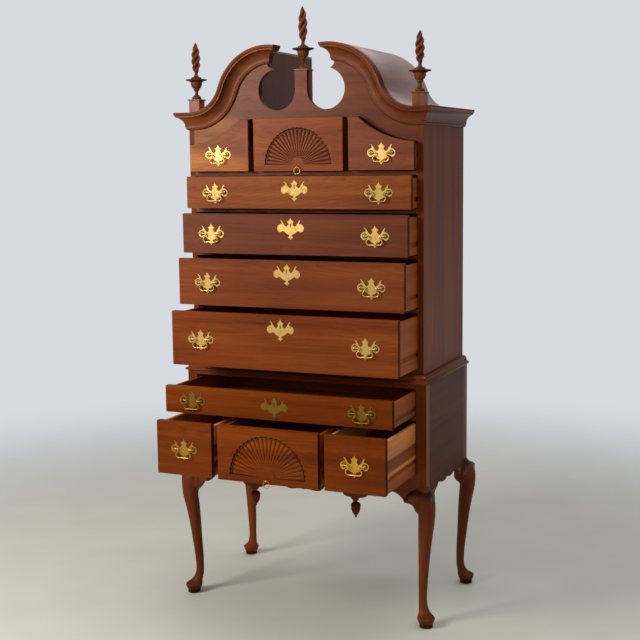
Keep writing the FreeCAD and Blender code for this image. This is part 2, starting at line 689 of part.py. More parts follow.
# a ring hangs through the round head of its post; its axis is the origin's x line
ring_model = Part.makeTorus(ring_radius, ring_wire, V(0, 0, -ring_radius), V(0, 1, 0))
ring_head = V(0, -ring_post_length, 0)
ring_hole = Part.makeCylinder(ring_wire + ring_gap, 4 * ring_head_radius,
                              V(-2 * ring_head_radius, ring_head.y, 0), V(1, 0, 0))
ring_post = Part.makeCylinder(ring_post_radius, ring_post_length, V(0, 0, 0), V(0, -1, 0))
ring_post = ring_post.fuse(Part.makeSphere(ring_head_radius, ring_head)).cut(ring_hole)


def furnish(name, y, pulls=(), pull_z=0, lock_z=None, ring_z=None):
    """Brass on the face at y of a drawer: pulls at the given x, a keyhole, or one ring."""
    brass = [piece.translated(V(x, y, pull_z)) for x in pulls for piece in [plate_model] + stem_models]
    for x in pulls:
        side = ("_left" if x < 0 else "_right") if len(pulls) > 1 else ""
        keep("bail_" + name + side, bail_model.translated(V(x, y - pivot_out, pull_z)))
    if lock_z:
        brass.append(escutcheon_model.translated(V(0, y, lock_z)))
    if ring_z:
        brass.append(ring_post.translated(V(0, y, ring_z)))
        keep("ring_" + name, ring_model.translated(V(0, y - ring_post_length, ring_z)))
    keep("brass_" + name, *brass)


# ---- drawers ------------------------------------------------------------------------------------
def carve_fan(front, x, y, z, radius, hub):
    """Cut a half-round fan into a drawer front: grooves that widen and deepen away from a plain hub."""
    def spot(distance, angle, depth):
        return V(x + distance * math.cos(angle), y + depth, z + distance * math.sin(angle))

    step = math.pi / fan_rays
    spread = groove_spread * step / 2
    grooves = []
    for ray in range(fan_rays):
        middle = step * (ray + 0.5)
        sections = []
        for distance in (hub, radius):
            near, far = middle - spread, middle + spread
            bottom = spot(distance * math.cos(spread), middle, fan_depth * distance / radius)
            sections.append(Part.makePolygon([
                spot(distance, near, -1), spot(distance, far, -1), spot(distance, far, 0), bottom,
                spot(distance, near, 0), spot(distance, near, -1)]))
        grooves.append(Part.makeLoft(sections, True, True))
    return front.cut(Part.makeCompound(grooves))


def drawer_front(x0, x1, z0, z1, y):
    return box(x0 + front_gap, x1 - front_gap, y, y + front_thick, z0 + front_gap, z1 - front_gap)


def groove_level(z0, z1):
    """Middle of the groove in a drawer's side, and of the runner that it rides on."""
    return z0 + front_gap + under_gap + max(groove_least, groove_share * (z1 - z0))


def drawer(name, x0, x1, z0, z1, case_front, y, front, side_high=None):
    """The front and the box of one drawer in its opening x0..x1, z0..z1, with its face at y."""
    side_low = z0 + front_gap + under_gap
    side_high = (side_high or z1) - front_gap - side_drop
    box_left, box_right = x0 + front_gap + box_inset, x1 - front_gap - box_inset
    inner, back = y + front_thick, y + inside_back - case_front - behind_box
    slot_z = groove_level(z0, z1)
    sides = []
    for left, slot_left in ((box_left, box_left - 1), (box_right - board, box_right - groove_depth)):
        groove = box(slot_left, slot_left + groove_depth + 1, inner + groove_start, back + 1,
                     slot_z - groove_height / 2, slot_z + groove_height / 2)
        sides.append(box(left, left + board, inner, back, side_low, side_high).cut(groove))
    bottom_low = side_low + bottom_rise
    floor = box(box_left + board, box_right - board, inner, back, bottom_low, bottom_low + bottom_thick)
    rear = box(box_left + board, box_right - board, back - board, back, bottom_low + bottom_thick,
               side_high - rear_drop)
    keep("drawer_" + name, front, *sides, rear, floor)


runner_height = groove_height - 2 * runner_gap
runner_reach = front_gap + box_inset + groove_depth - runner_gap


def runner(wall, edge, sign, z0, z1, y0, y1):
    """A strip from the case wall past the edge of the opening into the groove of a drawer's side."""
    low = groove_level(z0, z1) - runner_height / 2
    keep("drawer_runners", box(*sorted((wall, edge - sign * runner_reach)), y0, y1, low, low + runner_height))


# long drawers of the upper case, from the bottom up
for number, (floor, opening) in enumerate(zip(row_floors, upper_openings)):
    name, y, ceiling = "upper_" + str(len(upper_openings) - number), -upper_pulled[number], floor + opening
    drawer(name, -open_half, open_half, floor, ceiling, 0, y,
           drawer_front(-open_half, open_half, floor, ceiling, y))
    furnish(name, y, pulls=(-upper_pull_x, upper_pull_x), pull_z=floor + opening / 2,
            lock_z=ceiling - upper_lock_drops[number])
    for sign in (-1, 1):
        runner(sign * open_half, sign * open_half, sign, floor, ceiling, runner_start, inside_back)

# top row: two scooped corner drawers and a carved one between them
y = -top_row_pulled
radius = scoop_radius + front_gap
near, far = corner_in + front_gap, open_half - front_gap
low, high = top_row_floor + front_gap, top_row_top - front_gap
start = scoop_x - math.sqrt(radius ** 2 - (scoop_z - high) ** 2)
middle = (start + far) / 2
scooped = face_of(front_face(y), (near, low), ("line", (near, high), (start, high)),
                  ("arc", (middle, scoop(middle, radius)), (far, scoop(far, radius))),
                  ("line", (far, low))).extrude(V(0, front_thick, 0))
for sign, side in ((-1, "left"), (1, "right")):
    drawer("top_" + side, *sorted((sign * corner_in, sign * open_half)), top_row_floor, top_row_top, 0, y,
           scooped if sign > 0 else flip(scooped), scoop(open_half))
    furnish("top_" + side, y, pulls=(sign * upper_pull_x,), pull_z=top_row_floor + corner_pull_rise)
    for edge, way in ((open_half, sign), (corner_in, -sign), (centre_edge, sign)):
        runner(sign * edge, sign * edge, way, top_row_floor, top_row_top, runner_start, inside_back)
front = drawer_front(-centre_edge, centre_edge, top_row_floor, top_row_top, y)
drawer("top_centre", -centre_edge, centre_edge, top_row_floor, top_row_top, 0, y,
       carve_fan(front, 0, y, top_row_floor + fan_rise, upper_fan, upper_hub))
furnish("top_centre", y, ring_z=top_row_floor + fan_rise - ring_drop)

# lower case: one long drawer over a row of three
y = lower_front - lower_pulled[1]
drawer("lower_long", -open_half, open_half, low_long_bottom, low_long_top, lower_front, y,
       drawer_front(-open_half, open_half, low_long_bottom, low_long_top, y))
furnish("lower_long", y, pulls=(-lower_pull_x, lower_pull_x), pull_z=(low_long_bottom + low_long_top) / 2,
        lock_z=low_long_top - lower_lock_drop)
y = lower_front - lower_pulled[0]
for sign, side in ((-1, "left"), (1, "right")):
    x0, x1 = sorted((sign * low_corner, sign * open_half))
    drawer("bottom_" + side, x0, x1, apron_top, low_row_top, lower_front, y,
           drawer_front(x0, x1, apron_top, low_row_top, y))
    furnish("bottom_" + side, y, pulls=(sign * lower_pull_x,), pull_z=(apron_top + low_row_top) / 2)
    for z0, z1 in ((apron_top, low_row_top), (low_long_bottom, low_long_top)):
        runner(sign * (low_half - side_panel), sign * open_half, sign, z0, z1, panel_front, panel_back)
    for edge, way in ((low_corner, -sign), (low_edge, sign)):
        runner(sign * edge, sign * edge, way, apron_top, low_row_top, runner_start, inside_back)
front = drawer_front(-low_edge, low_edge, apron_top, low_row_top, y)
drawer("bottom_centre", -low_edge, low_edge, apron_top, low_row_top, lower_front, y,
       carve_fan(front, 0, y, apron_top + fan_rise, lower_fan, lower_hub))
furnish("bottom_centre", y, ring_z=apron_top + fan_rise - ring_drop)

# ---- move the origin under the middle of the whole and write the files ---------------------------
overall = FreeCAD.BoundBox()
for solids in nodes.values():
    for solid in solids:
        overall.add(solid.optimalBoundingBox(False))
shift = V(0, -overall.Center.y, 0)
os.makedirs("parts", exist_ok=True)
for name, solids in nodes.items():
    moved = [solid.translated(shift) for solid in solids]
    shape = moved[0] if len(moved) == 1 else Part.makeCompound(moved)
    shape.exportStep("parts/" + name + ".step")
print("nodes", len(nodes), "shift", round(shift.y, 3),
      "size", [round(v, 1) for v in (overall.XLength, overall.YLength, overall.ZLength)])
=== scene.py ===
import bmesh
import bpy
import math
import random
from mathutils import Matrix, Vector


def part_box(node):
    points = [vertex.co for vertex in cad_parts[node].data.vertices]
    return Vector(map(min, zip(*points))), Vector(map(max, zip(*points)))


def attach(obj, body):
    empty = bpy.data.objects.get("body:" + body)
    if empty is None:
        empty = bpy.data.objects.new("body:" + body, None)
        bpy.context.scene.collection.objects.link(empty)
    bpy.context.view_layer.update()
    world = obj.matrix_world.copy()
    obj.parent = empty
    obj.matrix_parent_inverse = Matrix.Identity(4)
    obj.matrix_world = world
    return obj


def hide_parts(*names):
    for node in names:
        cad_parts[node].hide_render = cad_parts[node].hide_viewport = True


# A bonnet-top highboy, put together from the feet up. Metres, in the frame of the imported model.
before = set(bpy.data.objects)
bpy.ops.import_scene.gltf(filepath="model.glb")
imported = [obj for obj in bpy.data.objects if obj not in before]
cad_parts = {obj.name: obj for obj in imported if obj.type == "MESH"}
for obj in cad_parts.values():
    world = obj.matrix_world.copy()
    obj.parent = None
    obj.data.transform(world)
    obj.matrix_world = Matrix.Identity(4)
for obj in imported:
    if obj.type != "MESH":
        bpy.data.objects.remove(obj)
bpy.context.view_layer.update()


# ---- cabriole legs -------------------------------------------------------------------------------
# Each leg is sawn and shaped from one walnut post: square above, where the case is tenoned into it,
# then a rounded knee, a slim ankle and a turned pad foot. The grain runs up the leg.
class Grain:
    """One socket of a finish; plain arithmetic on it adds Math nodes."""

    def __init__(self, tree, socket):
        self.tree = tree
        self.socket = socket

    def node(self, kind, settings, values, output=0):
        """Any node: its settings first, then the values or links of its sockets."""
        made = self.tree.nodes.new("ShaderNode" + kind)
        for name, setting in settings.items():
            if name == "stops":
                while len(made.color_ramp.elements) < len(setting):
                    made.color_ramp.elements.new(1.0)
                for element, (place, colour) in zip(made.color_ramp.elements, setting):
                    element.position = place
                    element.color = (*colour, 1.0)
            else:
                setattr(made, name, setting)
        for key, value in values.items():
            if isinstance(value, Grain):
                self.tree.links.new(value.socket, made.inputs[key])
            else:
                made.inputs[key].default_value = value
        return Grain(self.tree, made.outputs[output])

    def math(self, operation, *others):
        return self.node("Math", {"operation": operation}, dict(enumerate((self, *others))))

    def __add__(self, other):
        return self.math("ADD", other)

    def __sub__(self, other):
        return self.math("SUBTRACT", other)

    def __rsub__(self, other):
        return self.node("Math", {"operation": "SUBTRACT"}, {0: other, 1: self})

    def __mul__(self, other):
        return self.math("MULTIPLY", other)

    def __pow__(self, other):
        return self.math("POWER", other)

    __radd__ = __add__
    __rmul__ = __mul__

    def clamped(self, low, high):
        """0 below low, 1 above high, smooth between."""
        return self.node("MapRange", {"interpolation_type": "SMOOTHSTEP"}, {0: self, 1: low, 2: high})

    def cloud(self, scale, detail=2.0, roughness=0.5):
        """Noise over a vector socket."""
        return self.node("TexNoise", {}, {"Vector": self, "Scale": scale, "Detail": detail,
                                          "Roughness": roughness})

    def stretched(self, scale, shift):
        """Coordinates scaled and moved aside."""
        return self.node("Mapping", {"vector_type": "POINT"},
                         {"Vector": self, "Scale": scale, "Location": shift})

    # a Mix node takes its two colours at sockets 6 and 7 and gives the mixed one at output 2
    def tint(self, colour, share):
        """A colour drawn towards another by a share."""
        return self.node("Mix", {"data_type": "RGBA"}, {0: share, 6: self, 7: colour}, output=2)

    def times(self, colour):
        """A colour multiplied by another, channel by channel."""
        return self.node("Mix", {"data_type": "RGBA", "blend_type": "MULTIPLY"},
                         {0: 1.0, 6: self, 7: colour}, output=2)

    def grey(self):
        """The same value in all three channels."""
        return self.node("CombineColor", {}, {0: self, 1: self, 2: self})


def new_finish(name, **sockets):
    """A material with constants on its shader; returns it, its shader and its object coordinates."""
    material = bpy.data.materials.new(name)
    material.use_nodes = True
    shader = material.node_tree.nodes["Principled BSDF"]
    for socket, value in sockets.items():
        shader.inputs[socket.replace("_", " ")].default_value = value
    place = Grain(material.node_tree, None).node("TexCoord", {}, {}, output=3)
    return material, shader, place


def feed(shader, **sockets):
    """Link what varies over a surface to its shader."""
    for socket, value in sockets.items():
        value.tree.links.new(value.socket, shader.inputs[socket.replace("_", " ")])


# the dark, middle and light tone of the heartwood, and the golden tones of a painted highlight drawn like
# sapwood
walnut = ((0.085, 0.0135, 0.0016), (0.205, 0.040, 0.0048), (0.335, 0.088, 0.0135))
gold_tones = ((0.148, 0.0365, 0.0040), (0.370, 0.104, 0.0120), (0.620, 0.235, 0.0320))


def wood(name, along, seed, tones=walnut, pith=None, tilt=0.05, contrast=0.8, gloss=0.40,
         brightness=1.0, carved=False, strips=(), strip_tones=(), shine=0.15, highlight_corner=None,
         keyhole=None):
    """A finish sawn from one log: rings about a pith that wanders and leans across the board,
    streaks and pores along the grain, darker end grain. `along` is x, y or z. Carved pieces
    carry a "hollow" value at every point: painted shade where it is above 0 (in the fans partly
    patina) and painted light where it is below. `strips` are heights (low, high) where a board of
    another tone is glued in. Left of and below `highlight_corner` (x, z) the board turns golden, a
    painted highlight drawn like sapwood. Round the height `keyhole` in its middle a painted shade
    makes it as dark as inside a lock."""
    pore_dark, end_dark, hollow_dark = 0.26, 0.62, 0.78
    highlight_slope, highlight_wander, highlight_edge = 0.35, 0.10, (-0.03, 0.05)
    lock_light, lock_edge = 0.06, (0.009, 0.010)
    draw = random.Random(seed)
    if pith is None:
        pith = (draw.uniform(-0.25, 0.25), draw.uniform(0.0, 2.2))
    material, shader, place = new_finish(name, Coat_Roughness=0.28, Specular_IOR_Level=shine)
    shift = tuple(draw.uniform(-5, 5) for _ in range(3))
    axis = "xyz".index(along)
    across = [0, 1, 2]
    across.remove(axis)

    def drawn_out(length, width, detail, roughness=0.5):
        """Noise drawn out along the grain, `length` waves a metre along it and `width` across."""
        scale = [width] * 3
        scale[axis] = length
        return place.stretched(tuple(scale), shift).cloud(1.0, detail, roughness)

    split = place.node("SeparateXYZ", {}, {0: place}).socket.node
    parts = [Grain(place.tree, output) for output in split.outputs]
    run, (first, second) = parts[axis], [parts[number] for number in across]
    wander = drawn_out(1.3, 6.0, 2.0) - 0.5
    lean = tilt * draw.choice((-1, 1))
    off_first = first - pith[0] + run * lean + wander * 0.05
    off_second = second - pith[1] + run * (0.3 * lean) + wander * 0.035
    distance = (off_first * off_first + off_second * off_second) ** 0.5
    ripple = drawn_out(3.0, 60.0, 3.0)
    rings_a_metre = draw.uniform(120, 170)
    rings = (distance * rings_a_metre + ripple * 1.4).math("FRACT") ** 1.6
    streaks = drawn_out(0.9, 26.0, 3.0, 0.6)
    fibres = drawn_out(14.0, 700.0, 2.0, 0.6)
    pores = drawn_out(28.0, 1300.0, 1.0).clamped(0.60, 0.72)
    blotch = place.cloud(2.3, 2.0)
    # each part of the figure about its own middle, by how much it tells in the tone
    shade = 0.5 + contrast * ((streaks - 0.5) * 1.10 - (rings - 0.35) * 0.13 + (fibres - 0.5) * 0.42
                              + (blotch - 0.5) * 0.60)

    def toned(dark_to_light):
        return shade.node("ValToRGB", {"stops": list(zip((0.12, 0.5, 0.92), dark_to_light))}, {0: shade})

    colour = toned(tones)
    for low, high in strips:
        inside = parts[2].math("GREATER_THAN", low) * parts[2].math("LESS_THAN", high)
        colour = colour.tint(toned(strip_tones), inside)
    if highlight_corner:
        beyond = (parts[2] - highlight_corner[1]) + highlight_slope * (parts[0] - highlight_corner[0]) + wander * highlight_wander
        colour = colour.tint(toned(gold_tones), 1 - beyond.clamped(*highlight_edge))
    facing = place.node("SeparateXYZ", {}, {0: place.node("TexCoord", {}, {}, output=1)}, output=axis)
    end_grain = facing.math("ABSOLUTE").clamped(0.55, 0.95)
    darkening = brightness * (1 - pores * pore_dark) * (1 - end_grain * end_dark)
    # the "hollow" value paints shade where it is above 0 and light where it is below
    if carved:
        carving = place.node("Attribute", {"attribute_name": "hollow"}, {}, output=2)
        darkening = darkening * (1 - hollow_dark * carving)
    # painted shade: the wood behind the keyhole is drawn as dark as the inside of a lock
    if keyhole:
        rise = parts[2] - keyhole
        from_lock = (parts[0] * parts[0] + rise * rise) ** 0.5
        darkening = darkening * (lock_light + (1 - lock_light) * from_lock.clamped(*lock_edge))
    relief = fibres * 0.5 - pores + ripple * 0.4
    feed(shader, Base_Color=colour.times(darkening.grey()),
         Roughness=gloss + (fibres - 0.5) * 0.16 + pores * 0.12 + end_grain * 0.35,
         Coat_Weight=(1 - end_grain) * (0.4 * shine),
         Normal=place.node("Bump", {}, {"Strength": 0.35, "Distance": 0.0004, "Height": relief}))
    return material


def finish_faces(piece, finishes, choose):
    """Put finishes on a piece; `choose` gives the number of the finish of a face."""
    piece.data.materials.clear()
    for finish in finishes:
        piece.data.materials.append(finish)
    if choose:
        for face in piece.data.polygons:
            face.material_index = choose(face)


def ease_edges(piece, width, angle=32):
    """Round the edges as sandpaper does."""
    bevel = piece.modifiers.new("eased", "BEVEL")
    bevel.width = width
    bevel.segments = 2
    bevel.limit_method = "ANGLE"
    bevel.angle_limit = math.radians(angle)
    bevel.harden_normals = True


same_point = 2e-6              # corners of the frame's meshes that are closer than this are one


def dress(node, *finishes, choose=None, edge=0.0009):
    """Give a node of the frame its finishes and its eased edges."""
    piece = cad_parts[node]
    finish_faces(piece, finishes, choose)
    weld = piece.modifiers.new("glue", "WELD")
    weld.merge_threshold = same_point
    if edge:
        ease_edges(piece, edge)


def add_piece(name, mesh, finishes, replaces, body="case", crease=35, edge=0.0,
              choose=None):
    """A piece from a bmesh: smooth but for edges sharper than `crease` degrees, riding on a body."""
    bmesh.ops.recalc_face_normals(mesh, faces=mesh.faces)
    for face in mesh.faces:
        face.smooth = True
    for line in mesh.edges:
        line.smooth = line.calc_face_angle(0.0) < math.radians(crease)
    data = bpy.data.meshes.new(name)
    mesh.to_mesh(data)
    mesh.free()
    piece = bpy.data.objects.new(name, data)
    bpy.context.scene.collection.objects.link(piece)
    finish_faces(piece, finishes, choose)
    if edge:
        ease_edges(piece, edge, crease)
    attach(piece, body)
    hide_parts(*replaces)


def skin(mesh, rings):
    """Quads between rings of as many points each, with the first and last ring filled."""
    rows = [[mesh.verts.new(point) for point in ring] for ring in rings]
    count = len(rows[0])
    for low, high in zip(rows, rows[1:]):
        for i in range(count):
            j = (i + 1) % count
            mesh.faces.new((low[i], low[j], high[j], high[i]))
    mesh.faces.new(rows[0][::-1])
    mesh.faces.new(rows[-1])
    return rows


def ease(low, high, value):
    """Smooth step from 0 at low to 1 at high."""
    share = min(max((value - low) / (high - low), 0.0), 1.0)
    return share * share * (3 - 2 * share)


def along_line(stations, value):
    """Numbers read from (place, number...) stations with a smooth curve between them."""
    if value <= stations[0][0]:
        return stations[0][1:]
    for at, (before, after) in enumerate(zip(stations, stations[1:])):
        if value <= after[0]:
            length = after[0] - before[0]
            share = (value - before[0]) / length
            s2, s3 = share * share, share ** 3
            prior, ahead = stations[max(at - 1, 0)], stations[min(at + 2, len(stations) - 1)]
            found = []
            for n in range(1, len(before)):
                slope_in = (after[n] - prior[n]) / (after[0] - prior[0]) * length
                slope_out = (ahead[n] - before[n]) / (ahead[0] - before[0]) * length
                found.append((2 * s3 - 3 * s2 + 1) * before[n] + (s3 - 2 * s2 + share) * slope_in
                             + (3 * s2 - 2 * s3) * after[n] + (s3 - s2) * slope_out)
            return tuple(found)
    return stations[-1][1:]


case_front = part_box("front_apron")[0].y
case_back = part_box("back_boards")[1].y
case_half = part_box("lower_case_sides")[1].x
post_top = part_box("leg_front_left")[1].z
post = 0.0392                  # side of the square post
# height, place of the middle outwards from the post's corner along the diagonal, radius
leg_shape = [
    (0.000, -0.001, 0.0215), (0.0015, -0.001, 0.0240), (0.0072, -0.001, 0.0248), (0.0092, -0.001, 0.0220),
    (0.0118, -0.001, 0.0244), (0.018, -0.001, 0.0272), (0.026, -0.001, 0.0305), (0.0315, -0.001, 0.0322),
    (0.0345, -0.0015, 0.0323), (0.038, -0.004, 0.0300), (0.044, -0.0095, 0.0252), (0.052, -0.015, 0.0207),
    (0.062, -0.0205, 0.0176), (0.078, -0.0255, 0.0158), (0.100, -0.027, 0.0150), (0.150, -0.025, 0.0165),
    (0.215, -0.0190, 0.0190), (0.285, -0.0125, 0.0225), (0.345, -0.0050, 0.0265), (0.400, 0.0035, 0.0300),
    (0.445, 0.004, 0.0320), (0.475, -0.005, 0.0335), (0.500, -0.021, 0.0300), (0.520, -0.0275, 0.0200)]
# the arched top edge of the knee: distance along the case from the post's corner, height
knee_arch = [(-0.04, 0.492), (0.0, 0.503), (0.031, 0.509), (0.058, 0.499), (0.075, 0.482), (0.086, 0.462)]
knee_side = 0.0859             # the arch ends here
knee_swells, knee_full = 0.375, 0.452
knee_stand, knee_fall = 0.026, 0.23       # how far it stands out at the corner, how fast that falls
knee_edge = 0.022              # height over which its top edge is rounded


def knee_bulge(along, z):
    """How far the knee stands out of the face of the case, `along` it from the post's corner."""
    arch = along_line(knee_arch, along)[0]
    if z >= arch or along > knee_side:
        return 0.0
    rise = math.sin(math.pi / 2 * min((arch - z) / knee_edge, 1.0))
    reach = knee_stand - knee_fall * max(along, 0.0)
    return reach * rise * ease(knee_swells, knee_full, z)


def ledge_shade(along, out, z):
    """How dark the painted shade lies on the ledge under the knee's arch, `out` of the face of the case:
    the ledge faces up into the shadow of the open drawers.
    """
    darkest, lowest, behind_face = 0.85, 0.42, -0.002
    if out < behind_face or along > knee_side or z < lowest:
        return 0.0
    below = along_line(knee_arch, max(along, 0.0))[0] - z
    return darkest * ease(-0.0015, 0.0005, below) * (1 - ease(0.006, 0.030, below))


def pad_shade(z):
    """How dark the painted shade lies under the pad foot, which faces the floor, and in the groove turned
    round it.
    """
    pad_dark, groove_dark = 0.82, 0.18
    groove = groove_dark if 0.008 < z < 0.010 else 0.0
    return pad_dark * (1 - ease(0.010, 0.046, z)) + groove


def leg_ring(x_sign, y_corner, y_sign, z):
    """Outline of the leg at one height: the square post, the round shank and the knee's bulge, joined."""
    square_from, square_full, centred = 0.380, 0.444, 0.470
    round_until, post_alone = 0.519, 0.53
    side_steps, sharpness = 18, 22         # points along a side, and how sharply the forms are joined
    middle, radius = along_line(leg_shape, z)
    round_at = -middle / math.sqrt(2)
    square_share = ease(square_from, square_full, z)
    start = round_at + (post / 2 - round_at) * ease(square_from, centred, z)
    near, beyond = start - post / 2, start + post / 2
    corners = [(0, 0), (post, 0), (post, post), (0, post)]
    drawn_in = [(near, near), (beyond, near), (beyond, beyond), (near, beyond)]
    blended = [tuple(square_share * a + (1 - square_share) * b for a, b in zip(*pair))
               for pair in zip(corners, drawn_in)]
    ring = []
    for side in range(4):
        (a0, b0), (a1, b1) = blended[side], blended[(side + 1) % 4]
        for step in range(side_steps):
            share = step / side_steps
            if z < post_alone:
                share = 0.5 - 0.5 * math.cos(math.pi * step / side_steps)
            da, db = a0 + (a1 - a0) * share - start, b0 + (b1 - b0) * share - start
            length = math.hypot(da, db)
            da, db = da / length, db / length
            reaches = [1e-4]
            if z < round_until:
                off = start - round_at
                inward = off * (da + db)
                chord = math.sqrt(max(radius * radius - 2 * off * off + inward * inward, 0.0))
                reaches.append(chord - inward)
            if square_share > 0:
                hits = []
                for way, other in ((da, db), (db, da)):
                    if way > 1e-6:
                        hits.append((post - start) / way)
                    elif way < -1e-6:
                        far = start / -way
                        bulge = knee_bulge(start + other * far, z)
                        hits.append((start + bulge) / -way)
                reaches.append(max(min(hits), 0.0) * square_share)
            reach = sum(r ** sharpness for r in reaches) ** (1 / sharpness)
            a, b = start + da * reach, start + db * reach
            ring.append(Vector((x_sign * (case_half - a), y_corner - y_sign * b, z)))
    return ring if x_sign * y_sign > 0 else ring[::-1]


# a ring at every turn of the foot, wide steps up the shank, close ones through the knee
ankle, knee_low = 0.078, 0.4125
leg_heights = [row[0] for row in leg_shape if row[0] < ankle] + [ankle + 0.0107 * n for n in range(31)]
leg_heights += [knee_low + 0.0025 * n for n in range(44)] + [0.60, 0.75, post_top]
pith_inside, pith_behind = 0.11, 0.03
# how light each leg is drawn: partly its post's own tone, partly painted light and shade for the light
# falling on each leg
leg_brightness = {"front_left": 0.73, "front_right": 0.76, "back_left": 1.12, "back_right": 0.62}
leg_finishes = {}
for end, y_corner, y_sign in (("front", case_front, -1), ("back", case_back, 1)):
    for side, x_sign in (("left", -1), ("right", 1)):
        name = end + "_" + side
        pith = (x_sign * (case_half - pith_inside), y_corner - y_sign * pith_behind)
        leg_finishes[name] = wood("leg_wood_" + name, "z", 11 + 3 * x_sign + y_sign, tilt=0.02, pith=pith,
                                  brightness=leg_brightness[name], shine=0.10, carved=True)
        mesh = bmesh.new()
        hollow = mesh.verts.layers.float.new("hollow")
        for row in skin(mesh, [leg_ring(x_sign, y_corner, y_sign, z) for z in leg_heights]):
            for spot in row:
                a, b = case_half - abs(spot.co.x), (y_corner - spot.co.y) * y_sign
                z = spot.co.z
                # painted shade on the ledge under the knee's arch and under the pad foot
                spot[hollow] = max(ledge_shade(a, -b, z), ledge_shade(b, -a, z), pad_shade(z))
        add_piece("cabriole_" + name, mesh, [leg_finishes[name]], replaces=["leg_" + name], crease=50)

# ---- knee blocks ---------------------------------------------------------------------------------
# Ear pieces of the same wood, glued beside every knee under the apron and the side panels; each
# carries the knee's arched top on and ends in a curl.
block_end, block_top, block_thick = 0.129, 0.493, 0.020
proud_of_knee, over_arch = 0.0004, 0.0008
# the lower edge with its curl: distance along the case from the post's corner, height
block_curl = [(post, 0.440), (0.043, 0.448), (0.049, 0.4535), (0.058, 0.4565), (0.072, 0.4575),
              (0.083, 0.459), (0.088, 0.467), (0.097, 0.476), (0.114, 0.488), (block_end, 0.4925)]


def knee_block(mesh, hollow, place):
    """`place` turns (along the face from the post's corner, out of it, height) into a point."""
    columns, rows = 44, 22
    fronts, backs = [], []
    for column in range(columns + 1):
        along = post + (block_end - post) * column / columns
        low, top = along_line(block_curl, along)[0], block_top
        if along < knee_side:
            top = max(block_top, along_line(knee_arch, along)[0] + over_arch)
        for store, front in ((fronts, True), (backs, False)):
            line = []
            for row in range(rows + 1):
                z = low + (top - low) * row / rows
                behind = -block_thick if z <= block_top else 0.0
                out = knee_bulge(along, z) + proud_of_knee if front else behind
                line.append(mesh.verts.new(place(along, out, z)))
                # painted shade on the ledge under the knee's arch
                line[-1][hollow] = ledge_shade(along, out, z)
            store.append(line)
    for sheet in (fronts, backs):
        for left, right in zip(sheet, sheet[1:]):
            for row in range(rows):
                mesh.faces.new((left[row], right[row], right[row + 1], left[row + 1]))
    for column in range(columns):
        for row in (0, rows):
            mesh.faces.new((fronts[column][row], fronts[column + 1][row],
                            backs[column + 1][row], backs[column][row]))
    for column in (0, columns):
        for row in range(rows):
            mesh.faces.new((fronts[column][row], fronts[column][row + 1],
                            backs[column][row + 1], backs[column][row]))


for side, sign in (("left", -1), ("right", 1)):
    placings = {
        "apron": lambda along, out, z: Vector((sign * (case_half - along), case_front - out, z)),
        "front": lambda along, out, z: Vector((sign * (case_half + out), case_front + along, z)),
        "back": lambda along, out, z: Vector((sign * (case_half + out), case_back - along, z))}
    mesh = bmesh.new()
    hollow = mesh.verts.layers.float.new("hollow")
    for place in placings.values():
        knee_block(mesh, hollow, place)
    add_piece("knee_blocks_" + side, mesh, [leg_finishes["front_" + side]], replaces=["knee_blocks"],
              crease=50)

# ---- lower case ----------------------------------------------------------------------------------
# Walnut side panels and a shaped front apron, tenoned into the legs, with rails and partitions
# between the drawers and a frame on top that carries the upper case.
rail_wood = wood("rail_walnut", "x", 23)
# the side panels are drawn much darker than the front rails: painted shade on the sides of the case
dress("lower_case_sides", wood("panel_walnut", "y", 22, gloss=0.46, brightness=0.42, shine=0.05))
dress("front_apron", wood("apron_walnut", "x", 24, brightness=0.70, shine=0.10))
dress("lower_case_frame", rail_wood)

# ---- acorn drops ---------------------------------------------------------------------------------
# Two acorns of walnut, stained darker than the case. They are turned on the lathe and pinned under
# the two pendants of the apron.
dress("acorn_drops", wood("drop_walnut", "z", 31, brightness=0.52, shine=0.06), edge=0)

# ---- waist moulding ------------------------------------------------------------------------------
# Three lengths of walnut, mitred round the foot of the upper case and fixed to the lower one, so
# that they hold the upper case in place. The grain of each runs along it.
mitre_x, mitre_y = 0.46, -0.075           # the side lengths lie outside and behind these
# the side lengths are drawn darker than the front length: painted shade on the sides
dress("waist_moulding", wood("waist_walnut", "x", 41),
      wood("waist_side_walnut", "y", 42, brightness=0.48, shine=0.08), edge=0.0005,
      choose=lambda face: 1 if face.center.y > mitre_y and abs(face.center.x) > mitre_x else 0)

# ---- upper case ----------------------------------------------------------------------------------
# Two wide walnut side boards with upright grain; rails, partitions and inner boards are let in
# between them, and back boards of a plainer, paler wood close both cases behind.
# the side boards are drawn darker than the front rails: painted shade on the sides of the case
dress("upper_case_sides", wood("side_walnut", "z", 21, pith=(0.35, 0.13), tilt=0.03, gloss=0.46,
                               brightness=0.74, shine=0.08))
dress("upper_case_frame", rail_wood)
dress("upper_case_boards", rail_wood)
plain_tones = ((0.20, 0.075, 0.022), (0.40, 0.175, 0.062), (0.55, 0.28, 0.115))
dress("back_boards", wood("back_board", "z", 51, tones=plain_tones, gloss=0.6))

# ---- drawer runners ------------------------------------------------------------------------------
# Strips of the same plain wood, one on each side of every drawer. They are screwed to the case and
# fit the grooves of the drawer's sides.
dress("drawer_runners", wood("runner_wood", "y", 52, tones=plain_tones, gloss=0.55))

# ---- crown and bonnet ----------------------------------------------------------------------------
# A pierced pediment board of walnut with two carved swan-neck mouldings and level side cornices
# glued to it, and thin roof boards bent over inner boards behind.
# the pediment's left corner turns golden: a painted highlight, as on the top left front
golden_corner = (-0.34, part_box("drawer_top_centre")[1].z)
dress("pediment_board", wood("pediment_walnut", "x", 62, brightness=0.74, shine=0.14,
                             highlight_corner=golden_corner))
dress("crown_mouldings", wood("crown_walnut", "x", 61, brightness=0.78), edge=0)
